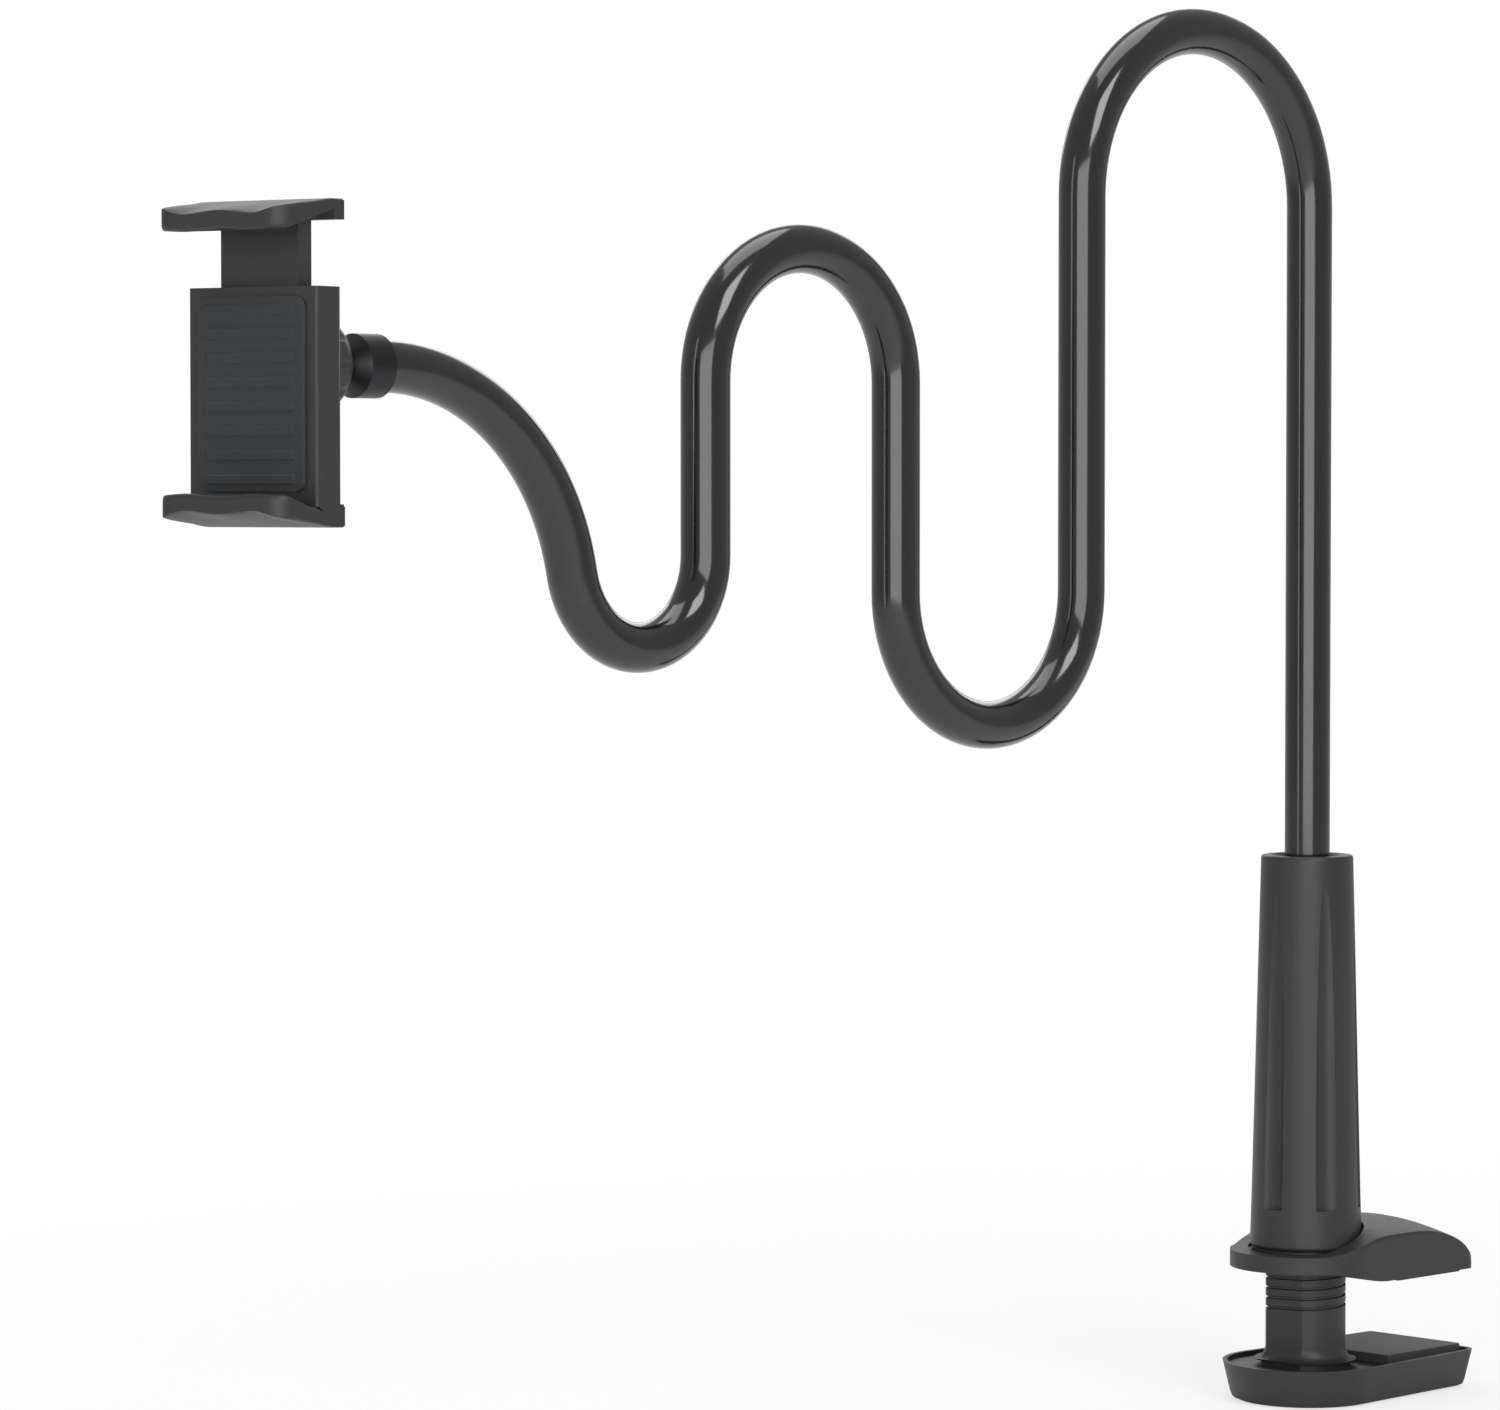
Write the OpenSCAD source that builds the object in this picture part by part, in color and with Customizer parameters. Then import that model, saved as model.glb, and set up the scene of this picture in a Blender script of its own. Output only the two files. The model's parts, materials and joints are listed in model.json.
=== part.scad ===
// Bendable desk arm with a screw clamp at its foot and a spring-loaded phone cradle on a ball joint.
// The mast runs up +Z, the arm reaches out towards -Y and the clamp jaws point towards +Y.
// z = 0 is the top face of the desk, under the upper jaw's pad.

/* [Neck] */
// Outside diameter of the neck
neck_d = 13.5; // [11:0.5:14]
// Diameter of the bendable rod inside it
core_d = 9; // [6.5:0.5:9]
// Height of the end of the mast's straight stretch
mast_top = 322; // [280:1:400]
// Straight stretch after the first bend
drop_1 = 112.5; // [90:0.5:140]
// Straight stretch after the second bend
rise_2 = 58; // [40:0.5:80]
// Straight stretch after the third bend
drop_3 = 47; // [30:0.5:70]
// Straight stretch at the neck's tip
tip_run = 8; // [6:0.5:20]
// Radius of the first bend, from the mast over the top
bend_1 = 50; // [40:0.5:60]
// Radius of the second bend
bend_2 = 38; // [30:0.5:50]
// Radius of the third bend
bend_3 = 36.5; // [30:0.5:50]
// Radius of the fourth bend
bend_4 = 24.5; // [20:0.5:32]
// Radius of the last bend, which brings the tip level
bend_5 = 66; // [50:0.5:80]
// How far the fourth bend turns, in degrees
bend_4_turn = 168; // [150:1:175]

/* [Grip] */
// How much wider the grip's foot is than the post
grip_foot_more = 9.5; // [9:0.5:14]
// How much wider the grip's top is than the post
grip_top_more = 3.5; // [3.5:0.5:9]
// Length of the grip
grip_h = 118; // [110:1:135]
// How much wider the hole in the grip's top is than the neck
grip_mouth_more = 6; // [4:0.5:8]
// Thickness of the grip's top
grip_crown_h = 6; // [4:0.5:8]
// Number of flutes round the grip
flutes = 6; // [4:1:9]
// Radius of each flute's hollow
flute_r = 4; // [3.5:0.1:6]
// Depth of each flute at its foot
flute_depth = 1.5; // [0.8:0.1:1.6]
// Height of the flutes' square feet above the grip's foot
flute_foot = 12.5; // [5:0.5:20]
// Distance of the flutes' pointed tips from the grip's top
flute_tip = 7.5; // [5:0.5:15]

/* [Clamp] */
// Diameter of the screw post
post_d = 24; // [22:0.5:24]
// Distance across the post's two flats
post_flats = 19.6; // [18:0.1:21.4]
// Height of the post's top
post_top = 90; // [84:1:94]
// Thickness of the desk that the clamp holds
desk_h = 22; // [8:1:60]
// How far the jaws' round end stands out round the grip
ring_out = 6; // [5:0.1:9]
// Half the width of the nose at its far corners
nose_half_w = 21.5; // [19:0.5:22]
// Radius of the nose's far corners
nose_corner = 5; // [3:0.5:9]
// Reach of the jaws from the post's axis
nose_reach = 55.4; // [48:0.1:62]
// Height of the ring plate's top face
plate_top = 10; // [10:0.5:12]
// Height of the ring plate's underside
plate_foot = 5; // [4:0.5:6]
// Height of the nose's upper edge at its highest
nose_edge_top = 14.7; // [13:0.1:17]
// How much higher the middle of the nose is than its edge
nose_crown = 3.8; // [1:0.1:6]
// Thickness of the upper pad
upper_pad_h = 2; // [1.6:0.1:3]
// How far the upper pad stands out of the nose
upper_pad_proud = 1.2; // [0.8:0.1:1.4]
// Thickness of the lower pad
lower_pad_h = 3; // [2.5:0.5:5]
// How far the lower pad stands above the lower jaw's rim
lower_pad_proud = 1.6; // [1:0.1:2.4]
// Height of the lower jaw
lower_jaw_h = 11.4; // [10:0.2:16]
// How far the lower jaw's round end stands out past the upper one's
rim_out = 2.1; // [0.5:0.1:3]
// How far the lower jaw's nose stands out past the upper one's
rim_nose_out = 0.3; // [0:0.1:2]

/* [Ball joint] */
// Diameter of the ball
ball_d = 15; // [13:0.5:15]
// Wall of the liner between ball and socket
liner_wall = 0.9; // [0.6:0.1:1.2]
// Wall of the socket outside the liner
socket_wall = 2.8; // [2:0.1:3]
// Wall of the lock nut
nut_wall = 3; // [2.5:0.1:4]
// Diameter of the ball's stem
stem_d = 7.2; // [6:0.2:7.4]
// Distance from the ball's centre to the neck's end
stem_run = 19.5; // [19:0.5:26]
// How far the cradle is turned about the upright at rest, in degrees
cradle_turn = 14; // [-25:1:25]

/* [Cradle] */
// Width of the cradle along the phone
cradle_w = 40; // [38:0.5:50]
// Gap between the two jaw pads at rest
jaw_gap = 71; // [71:0.5:80]
// How far the sliding jaw can close from rest
close_travel = 16.5; // [10:0.5:16.5]
// Depth of the housing with its cover
housing_depth = 11.5; // [11.5:0.1:14]
// Thickness of the cradle's walls
cradle_wall = 2; // [1.6:0.1:2.2]
// Thickness of the front cover
cover_h = 2; // [1.6:0.1:2.5]
// Thickness of the front pad
front_pad_h = 1.5; // [1:0.1:2.5]
// Gap that the lips leave for the phone's thickness
phone_gap = 10.5; // [8:0.1:14]
// Thickness of a hook's wall
hook_wall = 3.8; // [3:0.1:5]
// Thickness of the pads in the hooks
hook_pad_h = 1.6; // [1:0.1:2.4]
// How far the lips reach in over the phone's front
lip_reach = 3.1; // [2:0.1:4]
// Thickness of the sliding tongue
tongue_h = 5.5; // [4:0.1:6]
// Width of the sliding tongue
tongue_w = 24; // [22:0.5:24]
// Outside diameter of the two springs
spring_d = 5; // [4:0.1:5]
// Wire of the springs
spring_wire = 0.7; // [0.5:0.1:0.8]
// Turns of each spring
spring_turns = 13; // [8:1:14]

/* [Fits] */
// Radial clearance of parts that turn or slide on each other
running = 0.08; // [0.03:0.01:0.1]
// Clearance round parts that pass loosely
loose = 0.3; // [0.2:0.05:0.4]
// Radial clearance of parts that are glued or screwed together
snug = 0.03; // [0.02:0.01:0.05]

/* [Hidden] */
$fn = 72;
eps = 0.01;

neck_r = neck_d / 2;
core_r = core_d / 2;
post_r = post_d / 2;
post_flat = post_flats / 2;
grip_foot_r = post_r + grip_foot_more / 2;
grip_top_r = post_r + grip_top_more / 2;
grip_mouth_r = neck_r + grip_mouth_more / 2;
ring_r = grip_foot_r + ring_out;
ball_r = ball_d / 2;
stem_r = stem_d / 2;

// neck: places of the bends in the arm's plane, as [reach, height]
z_1 = mast_top;
z_2 = z_1 - drop_1;
z_3 = z_2 + rise_2;
z_4 = z_3 - drop_3;
reach_2 = 2 * bend_1;
reach_3 = reach_2 + 2 * bend_2;
reach_4 = reach_3 + 2 * bend_3;
centre_4 = [reach_4 + bend_4, z_4];
exit_4 = 180 + bend_4_turn;
swing_run = 2;
swing_lap = 0.5;
swing_out = 0.15;
start_5 = centre_4 + bend_4 * [cos(exit_4), sin(exit_4)] + swing_run * [-sin(exit_4), cos(exit_4)];
centre_5 = start_5 + bend_5 * [cos(exit_4), sin(exit_4)];
last_turn = bend_4_turn - 90;
tip_reach = centre_5[0] + tip_run;
tip_z = centre_5[1] + bend_5;
ball_reach = tip_reach + stem_run;

// post and grip
washer_h = 0.7;
grip_foot = plate_top + washer_h;
grip_top = grip_foot + grip_h;
bore_play = 0.6;
neck_seat_depth = 14;
core_seat_depth = 14;
neck_seat = post_top - neck_seat_depth;
core_seat = neck_seat - core_seat_depth;
insert_wall = 1.5;
insert_h = 23.5;
insert_foot = grip_foot + 2.3;
spigot_wall = 1.8;
spigot_r = post_r + bore_play + spigot_wall;
spigot_h = 2.6;
spigot_foot = plate_top - spigot_h;
ring_wire_r = 0.7;
ring_groove_play = 0.05;
ring_z = plate_top - 1.4;
flare_out = 3.2;
flare_h = 2.5;
flare_boss_h = 3.5;
set_screw_r = 2.5;
set_screw_z = core_seat + core_seat_depth / 2;

// jaws
nose_foot = upper_pad_proud;
rim_z = -desk_h - lower_pad_proud;
tray_floor = -desk_h - lower_pad_h;
lower_foot = rim_z - lower_jaw_h;
upper_pad_start = post_r + 9;
lower_pad_start = post_r + flare_out + 1;
pad_inset = 3.5;
post_spigot_r = 9;
post_spigot_h = 3;
post_screw_r = 2.5;
post_screw_grip = 17;
post_screw_head_r = 4.6;
post_screw_head_h = 3.2;

// ball joint
liner_in = ball_r + 0.03;
liner_out = liner_in + liner_wall;
socket_r = liner_out + 0.03;
collar_r = socket_r + socket_wall;
nut_bore = collar_r + running;
nut_r = nut_bore + nut_wall;
collar_back = 2.9;
nut_lip_gap = 0.4;
nut_lip_h = 1.6;
nut_scallops = 12;

// cradle: depths are distances in front of the ball's centre, heights are from its level
housing_back = socket_r + 0.05;
cavity_back = housing_back + cradle_wall;
cover_back = housing_back + housing_depth - cover_h;
cover_front = cover_back + cover_h;
pad_front = cover_front + front_pad_h;
lip_back = pad_front + phone_gap;
lip_h = 2.5;
lip_front = lip_back + lip_h;
hook_in = jaw_gap / 2 + hook_pad_h;
hook_out = hook_in + hook_wall;
lip_tip = jaw_gap / 2 - lip_reach;
block_gap = 0.2;
block_foot = hook_in - 1.4;
housing_top = block_foot - close_travel - block_gap;
cradle_corner = 3;
tongue_back = cavity_back + 1;
tongue_foot = -14.5;
spring_x = 6.2;
spring_y = tongue_back + tongue_h / 2;
spring_top = -2;
spring_foot = -hook_in + 2.6;
spring_slot_w = spring_d + 1.4;
anchor_r = 1;
boss_r = 2.7;
boss_x = cradle_w / 2 - cradle_wall - boss_r;
boss_high = housing_top - cradle_wall - boss_r;
boss_low = -hook_in + boss_r + 1;
cover_screw_r = 1.2;
cover_screw_head_r = 2.3;
cover_screw_head_h = 1.3;

plastic = "#3c3c3d";
sleeve_black = "#1c1c1d";
rubber = "#3d434a";
steel = "#b9bcc0";
brass = "#b5924c";
nylon = "#d8d6cf";

// stands a drawing of [reach, height] up in the arm's plane, reach running towards -Y
module in_plane() { rotate([90, 0, -90]) children(); }
// cuts a plate of a [depth, height] drawing, centred on the plane
module side_plate(width) { in_plane() translate([0, 0, -width / 2]) linear_extrude(width) children(); }
// cuts a plate of an [x, height] drawing between two depths in front of the ball
module front_plate(near, far) {
    translate([0, -near, 0]) rotate([90, 0, 0]) linear_extrude(far - near) children();
}
// a rod along the depth direction
module depth_rod(r, near, far) { front_plate(near, far) circle(r); }
// puts the ball joint's parts at the neck's tip
module at_ball() { translate([0, -ball_reach, tip_z]) children(); }
// puts the cradle's parts there, turned as they rest
module at_cradle() { at_ball() rotate([0, 0, cradle_turn]) children(); }
module rounded(w, h, r) {
    translate([-w / 2 + r, 0]) square([w - 2 * r, h]);
    translate([-w / 2, r]) square([w, h - 2 * r]);
    for (x = [-w / 2 + r, w / 2 - r], y = [r, h - r]) translate([x, y]) circle(r);
}

// the neck's route: four straight runs and five bends, each tangent to the next
module bend(centre, radius, r, start, turn) {
    translate(centre) rotate([0, 0, start]) rotate_extrude(angle = turn) translate([radius, 0]) circle(r);
}
module run_up(reach, low, high, r) {
    translate([reach, low]) rotate([-90, 0, 0]) cylinder(r = r, h = high - low);
}
module neck_route(r, foot, extra) {
    in_plane() {
        run_up(0, foot, z_1, r);
        bend([bend_1, z_1], bend_1, r, 0, 180);
        run_up(reach_2, z_2, z_1, r);
        bend([reach_2 + bend_2, z_2], bend_2, r, 180, 180);
        run_up(reach_3, z_2, z_3, r);
        bend([reach_3 + bend_3, z_3], bend_3, r, 0, 180);
        run_up(reach_4, z_4, z_3, r);
        bend(centre_4, bend_4, r, 180, bend_4_turn);
        // the two opposite bends meet in a short straight stretch, a hair thicker than they are
        translate(start_5) rotate([0, 0, exit_4]) rotate([90, 0, 0]) translate([0, 0, -swing_lap])
            cylinder(r = r + swing_out, h = swing_run + 2 * swing_lap);
        bend(centre_5, bend_5, r, 90, last_turn);
        translate([centre_5[0], tip_z]) rotate([0, 90, 0]) cylinder(r = r, h = tip_run + extra);
    }
}
module neck_core() {
    color(steel) difference() {
        neck_route(core_r, core_seat, 0);
        at_ball() translate([0, stem_run - eps, 0]) rotate([-90, 0, 0]) cylinder(r = stem_thread_r + snug, h = stem_thread_h + 1);
    }
}
module neck_sleeve() {
    color(sleeve_black) difference() {
        neck_route(neck_r, neck_seat, 0);
        neck_route(core_r, neck_seat - eps, eps);
    }
}

// ferrule and ball stud, along the neck's tip
ferrule_grip = 6;
ferrule_r = neck_r + 1.5;
ferrule_nose = 14;
stem_thread_r = 2.5;
stem_thread_h = 8;
module neck_ferrule() {
    color(steel) at_ball() rotate([-90, 0, 0]) difference() {
        rotate_extrude() polygon([
            [stem_r + running, ferrule_nose], [stem_r + 1.4, ferrule_nose],
            [ferrule_r, ferrule_nose + 3], [ferrule_r, stem_run + ferrule_grip - 0.5],
            [ferrule_r - 0.5, stem_run + ferrule_grip], [neck_r + snug, stem_run + ferrule_grip],
            [neck_r + snug, stem_run], [stem_r + running, stem_run]]);
    }
}
module ball_stud() {
    color(steel) at_ball() union() {
        sphere(ball_r);
        rotate([-90, 0, 0]) {
            cylinder(r = stem_r, h = stem_run);
            cylinder(r = stem_thread_r, h = stem_run + stem_thread_h);
        }
    }
}

// split liner that lets the ball turn in the socket
liner_hole = 3.5;
module ball_liner() {
    color(nylon) at_cradle() rotate([90, 0, 0]) rotate_extrude() intersection() {
        difference() {
            circle(liner_out);
            circle(liner_in);
        }
        translate([liner_hole, -collar_back]) square(2 * liner_out);
    }
}
module lock_nut() {
    nut_front = housing_back - loose;
    nut_back = collar_back + nut_lip_gap + nut_lip_h;
    lip_in = collar_r - 2.6;
    color(plastic) at_cradle() difference() {
        rotate([90, 0, 0]) rotate_extrude() polygon([
            [nut_bore, nut_front], [nut_r - 0.6, nut_front], [nut_r, nut_front - 0.6],
            [nut_r, -nut_back + 4], [nut_r - 1.6, -nut_back],
            [lip_in + 1.3, -nut_back], [lip_in, -collar_back - nut_lip_gap],
            [nut_bore, -collar_back - nut_lip_gap]]);
        for (i = [0 : nut_scallops - 1]) rotate([90, i * 360 / nut_scallops, 0])
            translate([nut_r + 1.5, 0, -nut_back - 1]) cylinder(r = 2.3, h = nut_front + nut_back - 1);
    }
}

// screw post: a round bar with two flats, flared where it stands in the lower jaw
module post_bar() {
    intersection() {
        rotate_extrude() polygon([
            [0, tray_floor], [post_r, tray_floor], [post_r, post_top - 1], [post_r - 1, post_top], [0, post_top]]);
        translate([-post_r, -post_flat, tray_floor]) cube([post_d, post_flats, post_top - tray_floor]);
    }
}
function flare_line(half) = concat(
    [[half + flare_out, 0]],
    [for (a = [90 : -10 : 0]) [half + flare_out * (1 - cos(a)), flare_boss_h + flare_h * (1 - sin(a))]]);
function mirrored(line) = [for (i = [len(line) - 1 : -1 : 0]) [-line[i][0], line[i][1]]];
// the flare follows the flats as well as the round sides
module post_flare() {
    translate([0, 0, tray_floor]) intersection() {
        rotate_extrude() polygon(concat([[0, 0]], flare_line(post_r), [[0, flare_boss_h + flare_h]]));
        rotate([90, 0, 90]) translate([0, 0, -2 * post_r]) linear_extrude(4 * post_r)
            polygon(concat(flare_line(post_flat), mirrored(flare_line(post_flat))));
    }
}
module screw_post() {
    color(plastic) difference() {
        union() {
            post_bar();
            post_flare();
            translate([0, 0, tray_floor - post_spigot_h]) cylinder(r = post_spigot_r, h = post_spigot_h + 1);
        }
        translate([0, 0, neck_seat]) cylinder(r = neck_r, h = neck_seat_depth + 1);
        translate([0, 0, core_seat]) cylinder(r = core_r, h = core_seat_depth + 1);
        translate([0, 0, tray_floor - post_spigot_h - 1]) cylinder(r = post_screw_r + snug, h = post_screw_grip + post_spigot_h + 2);
        translate([0, 0, set_screw_z]) rotate([90, 0, 0]) cylinder(r = set_screw_r, h = post_d, center = true);
    }
}
module neck_set_screws() {
    color(steel) for (side = [0, 180]) rotate([0, 0, side]) translate([0, 0, set_screw_z]) difference() {
        rotate([-90, 0, 0]) translate([0, 0, core_r]) cylinder(r = set_screw_r, h = post_flat - core_r - 0.4);
        rotate([-90, 0, 0]) translate([0, 0, post_flat - 2.6]) cylinder(r = 1.4, h = 3, $fn = 6);
    }
}

// outline of a jaw: round about the post, straight sides that close in a little, rounded far corners
module jaw_outline(inset, round_out, nose_out) {
    hull() {
        circle(ring_r + round_out - inset, $fn = 96);
        for (x = [-1, 1]) translate([x * (nose_half_w - nose_corner), nose_reach - nose_corner])
            circle(nose_corner + nose_out - inset, $fn = 32);
    }
}
module tray_outline(inset) { jaw_outline(inset, rim_out, rim_nose_out); }
module tray_slice(z, inset) { translate([0, 0, z]) linear_extrude(eps) tray_outline(inset); }
module lower_jaw() {
    edge = 2.2;
    tray_taper = 2.2;
    tray_wall = 1.4;
    color(plastic) difference() {
        hull() {
            tray_slice(rim_z - eps, 0);
            tray_slice(lower_foot + edge, tray_taper);
            tray_slice(lower_foot + edge * 0.3, tray_taper + edge * 0.3);
            tray_slice(lower_foot, tray_taper + edge);
        }
        translate([0, 0, tray_floor]) linear_extrude(lower_jaw_h) tray_outline(tray_wall);
        translate([0, 0, tray_floor - post_spigot_h]) cylinder(r = post_spigot_r, h = post_spigot_h + 1);
        translate([0, 0, lower_foot - 1]) cylinder(r = post_screw_r, h = lower_jaw_h);
        translate([0, 0, lower_foot - 1]) cylinder(r = post_screw_head_r + 0.2, h = 1 + post_screw_head_h + 0.3);
    }
}
module pad_outline(inset, from) {
    intersection() {
        jaw_outline(inset, 0, 0);
        translate([-nose_half_w, from]) square([2 * nose_half_w, nose_reach]);
    }
}
module lower_pad() {
    color(rubber) translate([0, 0, tray_floor]) linear_extrude(lower_pad_h)
        pad_outline(pad_inset, lower_pad_start);
}
module post_screw() {
    color(steel) translate([0, 0, lower_foot + 0.3]) difference() {
        union() {
            cylinder(r = post_screw_head_r, h = post_screw_head_h);
            cylinder(r = post_screw_r, h = tray_floor - lower_foot + post_screw_grip - 1);
        }
        translate([0, 0, -1]) cylinder(r = 2.3, h = 3, $fn = 6);
    }
}

// upper jaw: a ring plate round the post and a humped nose that reaches over the desk
rise_from = -15;
rise_to = 13;
fall_from = 24;
fall_to = nose_reach - 1.6;
nose_tip_h = 1.2;
edge_round = 0.7;
function clamp01(t) = max(0, min(1, t));
function ramp(y) = (1 - cos(180 * clamp01((y - rise_from) / (rise_to - rise_from)))) / 2;
function fall(y) = sqrt(1 - pow(clamp01((y - fall_from) / (fall_to - fall_from)), 2));
function nose_low(y) = plate_foot + (nose_foot - plate_foot) * ramp(y);
function nose_edge(y) = nose_foot + nose_tip_h
    + (plate_top - 0.1 + (nose_edge_top - plate_top) * ramp(y) - nose_foot - nose_tip_h) * fall(y);
// the straight sides touch the round end and run to the far corners
corner_x = nose_half_w - nose_corner;
corner_y = nose_reach - nose_corner;
side_lean = asin((ring_r - nose_corner) / norm([corner_x, corner_y])) - atan(corner_x / corner_y);
side_start = ring_r * sin(side_lean);
side_end = corner_y + nose_corner * sin(side_lean);
side_in = 0.05;
function nose_w(y) = -side_in + (y < side_start ? sqrt(ring_r * ring_r - y * y)
    : y < side_end ? ring_r / cos(side_lean) - y * tan(side_lean)
    : corner_x + sqrt(max(0, nose_corner * nose_corner - pow(y - corner_y, 2))));
function nose_top(x, y) = nose_edge(y) + nose_crown * ramp(y) * fall(y) * (1 - pow(x / nose_w(y), 2));
// one section across the nose, from its lower left round over the top to its lower right
function nose_section(y) = let (w = nose_w(y), top = nose_edge(y)) concat(
    [[-w, y, nose_low(y)], [-w, y, max(nose_low(y) + 0.2, top - edge_round)]],
    [for (k = [-1 : 0.125 : 1]) let (x = k * (w - edge_round)) [x, y, nose_top(x, y)]],
    [[w, y, max(nose_low(y) + 0.2, top - edge_round)], [w, y, nose_low(y)]]);
nose_steps = 40;
function nose_y(i) = let (t = i / nose_steps) rise_from
    + (nose_reach - rise_from) * (t < 0.5 ? t : 0.5 + 0.5 * sin((t - 0.5) * 180));
module nose_loft() {
    rings = [for (i = [0 : nose_steps]) nose_section(nose_y(i))];
    n = len(rings[0]);
    polyhedron(
        points = [for (ring = rings) each ring],
        faces = concat(
            [[for (k = [0 : n - 1]) k]],
            [for (i = [0 : nose_steps - 1], k = [0 : n - 1])
                [i * n + k, (i + 1) * n + k, i * n + (k + 1) % n]],
            [for (i = [0 : nose_steps - 1], k = [0 : n - 1])
                [i * n + (k + 1) % n, (i + 1) * n + k, (i + 1) * n + (k + 1) % n]],
            [[for (k = [n - 1 : -1 : 0]) nose_steps * n + k]]));
}
module post_hole(play) {
    intersection() {
        circle(post_r + play);
        translate([-post_d, -post_flat - play]) square([2 * post_d, post_flats + 2 * play]);
    }
}
module upper_jaw() {
    color(plastic) difference() {
        union() {
            translate([0, 0, plate_foot]) cylinder(r = ring_r, h = plate_top - plate_foot);
            nose_loft();
        }
        translate([0, 0, -1]) linear_extrude(plate_top) post_hole(running);
        translate([0, 0, spigot_foot]) cylinder(r = spigot_r + running, h = spigot_h + 1);
        translate([0, 0, ring_z]) rotate_extrude() translate([spigot_r, 0]) circle(ring_wire_r + ring_groove_play);
        translate([0, 0, plate_top]) cylinder(r = grip_foot_r + 2 * loose, h = grip_h);
        translate([0, 0, -eps]) linear_extrude(upper_pad_h + eps) pad_outline(pad_inset, upper_pad_start);
    }
}
module upper_pad() {
    color(rubber) linear_extrude(upper_pad_h) pad_outline(pad_inset, upper_pad_start);
}
module thrust_washer() {
    color(nylon) translate([0, 0, plate_top]) difference() {
        cylinder(r = grip_foot_r - foot_round, h = washer_h);
        translate([0, 0, -1]) cylinder(r = spigot_r + 2 * running, h = washer_h + 2);
    }
}
module snap_ring() {
    color(steel) translate([0, 0, ring_z]) rotate([0, 0, 15]) rotate_extrude(angle = 330)
        translate([spigot_r, 0]) circle(ring_wire_r);
}

// grip: a long tapered handle with lancet flutes, hollow to pass the post
foot_round = 1.4;
top_chamfer = 0.8;
function grip_r(z) = grip_foot_r + (grip_top_r - grip_foot_r) * (z - grip_foot) / grip_h;
module grip_body() {
    rotate_extrude() polygon(concat(
        [[0, grip_foot]],
        [for (a = [-90 : 15 : 0])
            [grip_foot_r - foot_round * (1 - cos(a)), grip_foot + foot_round * (1 + sin(a))]],
        [[grip_r(grip_top - top_chamfer), grip_top - top_chamfer],
         [grip_top_r - top_chamfer, grip_top], [0, grip_top]]));
}
// each flute is milled by a long arc that sinks in towards the foot and comes out at the tip
module flute() {
    low = grip_foot + flute_foot;
    run = grip_h - flute_foot - flute_tip;
    lean = atan((grip_foot_r - grip_top_r) / grip_h);
    arc_r = run * run / (2 * flute_depth);
    arc_turn = asin((run - 3) / arc_r);
    translate([grip_r(low) - flute_depth + flute_r, 0, low]) rotate([0, -lean, 0])
        translate([arc_r, 0, 0]) rotate([90, 0, 0]) rotate([0, 0, 180 - arc_turn])
            rotate_extrude(angle = arc_turn, $fn = 4000) translate([arc_r, 0]) circle(flute_r, $fn = 48);
}
module grip() {
    color(plastic) difference() {
        union() {
            grip_body();
            translate([0, 0, spigot_foot + 0.2]) cylinder(r = spigot_r, h = spigot_h + washer_h);
        }
        translate([0, 0, spigot_foot]) cylinder(r = post_r + bore_play, h = grip_top - grip_crown_h - spigot_foot);
        translate([0, 0, insert_foot]) cylinder(r = post_r + insert_wall, h = insert_h);
        translate([0, 0, grip_top - grip_crown_h - 1]) cylinder(r = grip_mouth_r, h = grip_crown_h + 2);
        translate([0, 0, grip_top - 1.2]) cylinder(r1 = grip_mouth_r, r2 = grip_mouth_r + 1.5, h = 1.2 + eps);
        translate([0, 0, ring_z]) rotate_extrude() translate([spigot_r, 0]) circle(ring_wire_r + ring_groove_play);
        for (i = [0 : flutes - 1]) rotate([0, 0, -27 + i * 360 / flutes]) flute();
    }
}
module thread_insert() {
    color(brass) translate([0, 0, insert_foot]) difference() {
        cylinder(r = post_r + insert_wall, h = insert_h);
        translate([0, 0, -1]) cylinder(r = post_r + running, h = insert_h + 2);
    }
}

// a hook in side view: the wall, the sloped front band and the lip that holds the phone
slope_from = 13;
slope_drop = 4.1;
function slope(t) = [slope_from + t * (lip_front - slope_from), hook_out - slope_drop * pow(t, 1.3)];
module hook_profile() {
    polygon(concat(
        [[housing_back, block_foot], [cover_front, block_foot], [cover_front, hook_in],
         [lip_back - 5, hook_in], [lip_back - 4.2, hook_in - 0.9], [lip_back - 3.4, hook_in - 2.9],
         [lip_back - 0.5, lip_tip + 0.5], [lip_back + 0.4, lip_tip], [lip_front - 1.4, lip_tip],
         [lip_front - 0.4, lip_tip + 0.4], [lip_front, lip_tip + 1.4], [lip_front, slope(1)[1] - 0.9],
         [lip_front - 0.3, slope(1)[1] - 0.2]],
        [for (t = [0.96 : -0.12 : 0]) slope(t)],
        [[slope_from, hook_out], [housing_back + 2, hook_out], [housing_back, hook_out - 1.6]]));
}
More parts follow.
